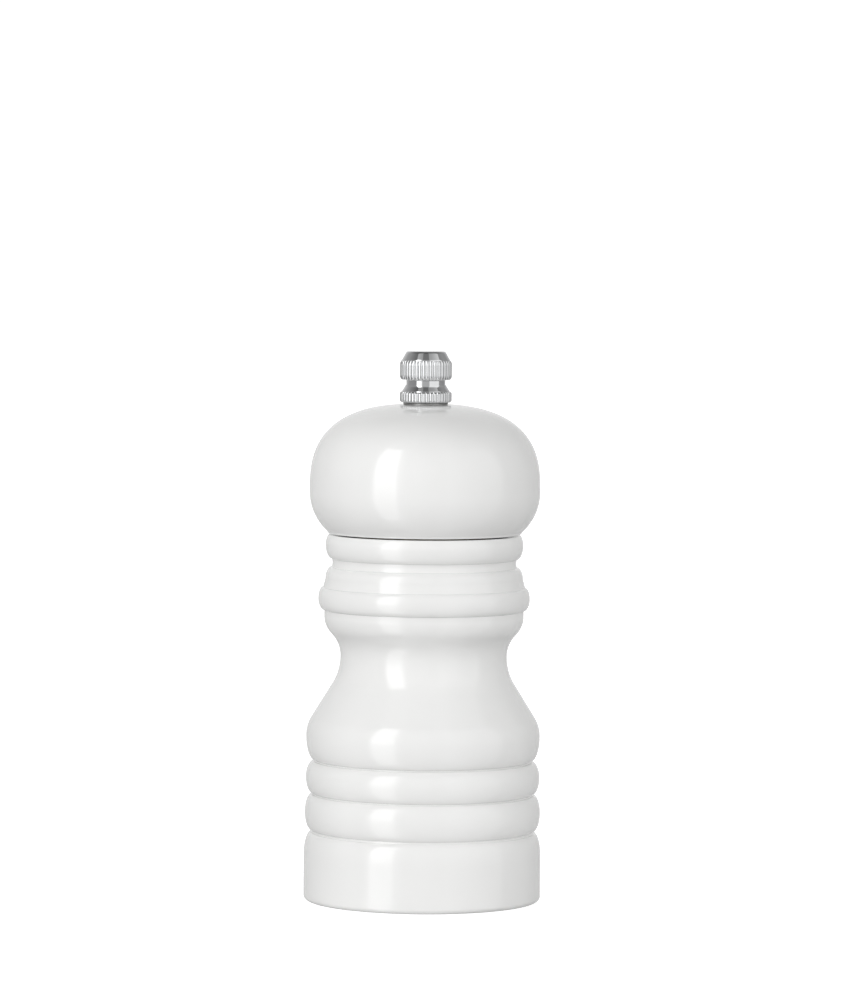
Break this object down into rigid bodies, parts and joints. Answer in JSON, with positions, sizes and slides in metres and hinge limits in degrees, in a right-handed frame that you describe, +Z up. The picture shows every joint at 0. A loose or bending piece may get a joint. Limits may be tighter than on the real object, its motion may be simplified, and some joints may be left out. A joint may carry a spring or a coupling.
{
  "type": "pepper mill",
  "caption": "Small turned wooden pepper mill with a turning bun head, a ribbed top nut that sets the grind, a square drive shaft and a ceramic cone grinder in the base.",
  "frame": {"origin": "centre of the base, on the surface that the mill stands on", "axes": "+Z up along the turning axis; +X and +Y level, with the retainer screws on the X axis and the turnplate screws on the Y axis"},
  "size_m": [0.055, 0.055, 0.1274],
  "materials": {
    "lacquered_wood": "rubberwood under a thick gloss white lacquer outside, bare in the bores",
    "chrome": "bright chrome plate, ribbed",
    "steel": "stamped stainless steel, fine brushed grain",
    "shaft_steel": "drawn bright steel bar",
    "screw_steel": "zinc plated steel",
    "spring_steel": "drawn spring wire",
    "black_plastic": "black moulded acetal, fine satin texture",
    "ceramic": "unglazed off-white alumina ceramic"
  },
  "bodies": {
    "mill_body": {"body_shell": "lacquered_wood", "mechanism_housing": "black_plastic", "stator_ring": "ceramic", "retainer_ring": "steel", "retainer_screw_1": "screw_steel", "retainer_screw_2": "screw_steel"},
    "drive": {"spring_top_washer": "steel", "grind_spring": "spring_steel"},
    "shaft": {"drive_shaft": "shaft_steel", "rotor_hub": "black_plastic", "rotor": "ceramic", "spring_seat_washer": "steel", "rotor_washer": "steel", "shaft_lock_nut": "screw_steel"},
    "head": {"head_knob": "lacquered_wood", "turnplate": "steel", "turnplate_screw_1": "screw_steel", "turnplate_screw_2": "screw_steel"},
    "nut_seat": {"nut_washer": "steel"},
    "nut": {"adjusting_nut": "chrome"}
  },
  "joints": [
    {"name": "grind_turn", "type": "hinge", "parent": "mill_body", "child": "drive", "pos_m": [0, 0, 0], "axis": [0, 0, 1], "continuous": true},
    {"name": "grind_adjust", "type": "slide", "parent": "drive", "child": "shaft", "axis": [0, 0, 1], "range_m": [0, 0.0016], "deforming": ["grind_spring"]},
    {"name": "head_lift", "type": "slide", "parent": "drive", "child": "head", "axis": [0, 0, 1], "range_m": [0, 0.06]},
    {"name": "nut_lift", "type": "slide", "parent": "head", "child": "nut_seat", "axis": [0, 0, 1], "range_m": [0, 0.015]},
    {"name": "nut_turn", "type": "hinge", "parent": "nut_seat", "child": "nut", "pos_m": [0, 0, 0], "axis": [0, 0, -1], "range_deg": [0, 720]}
  ],
  "couplings": [
    {"joint": "nut_turn", "follows": "grind_adjust", "rad_per_m": 7853.9}
  ]
}
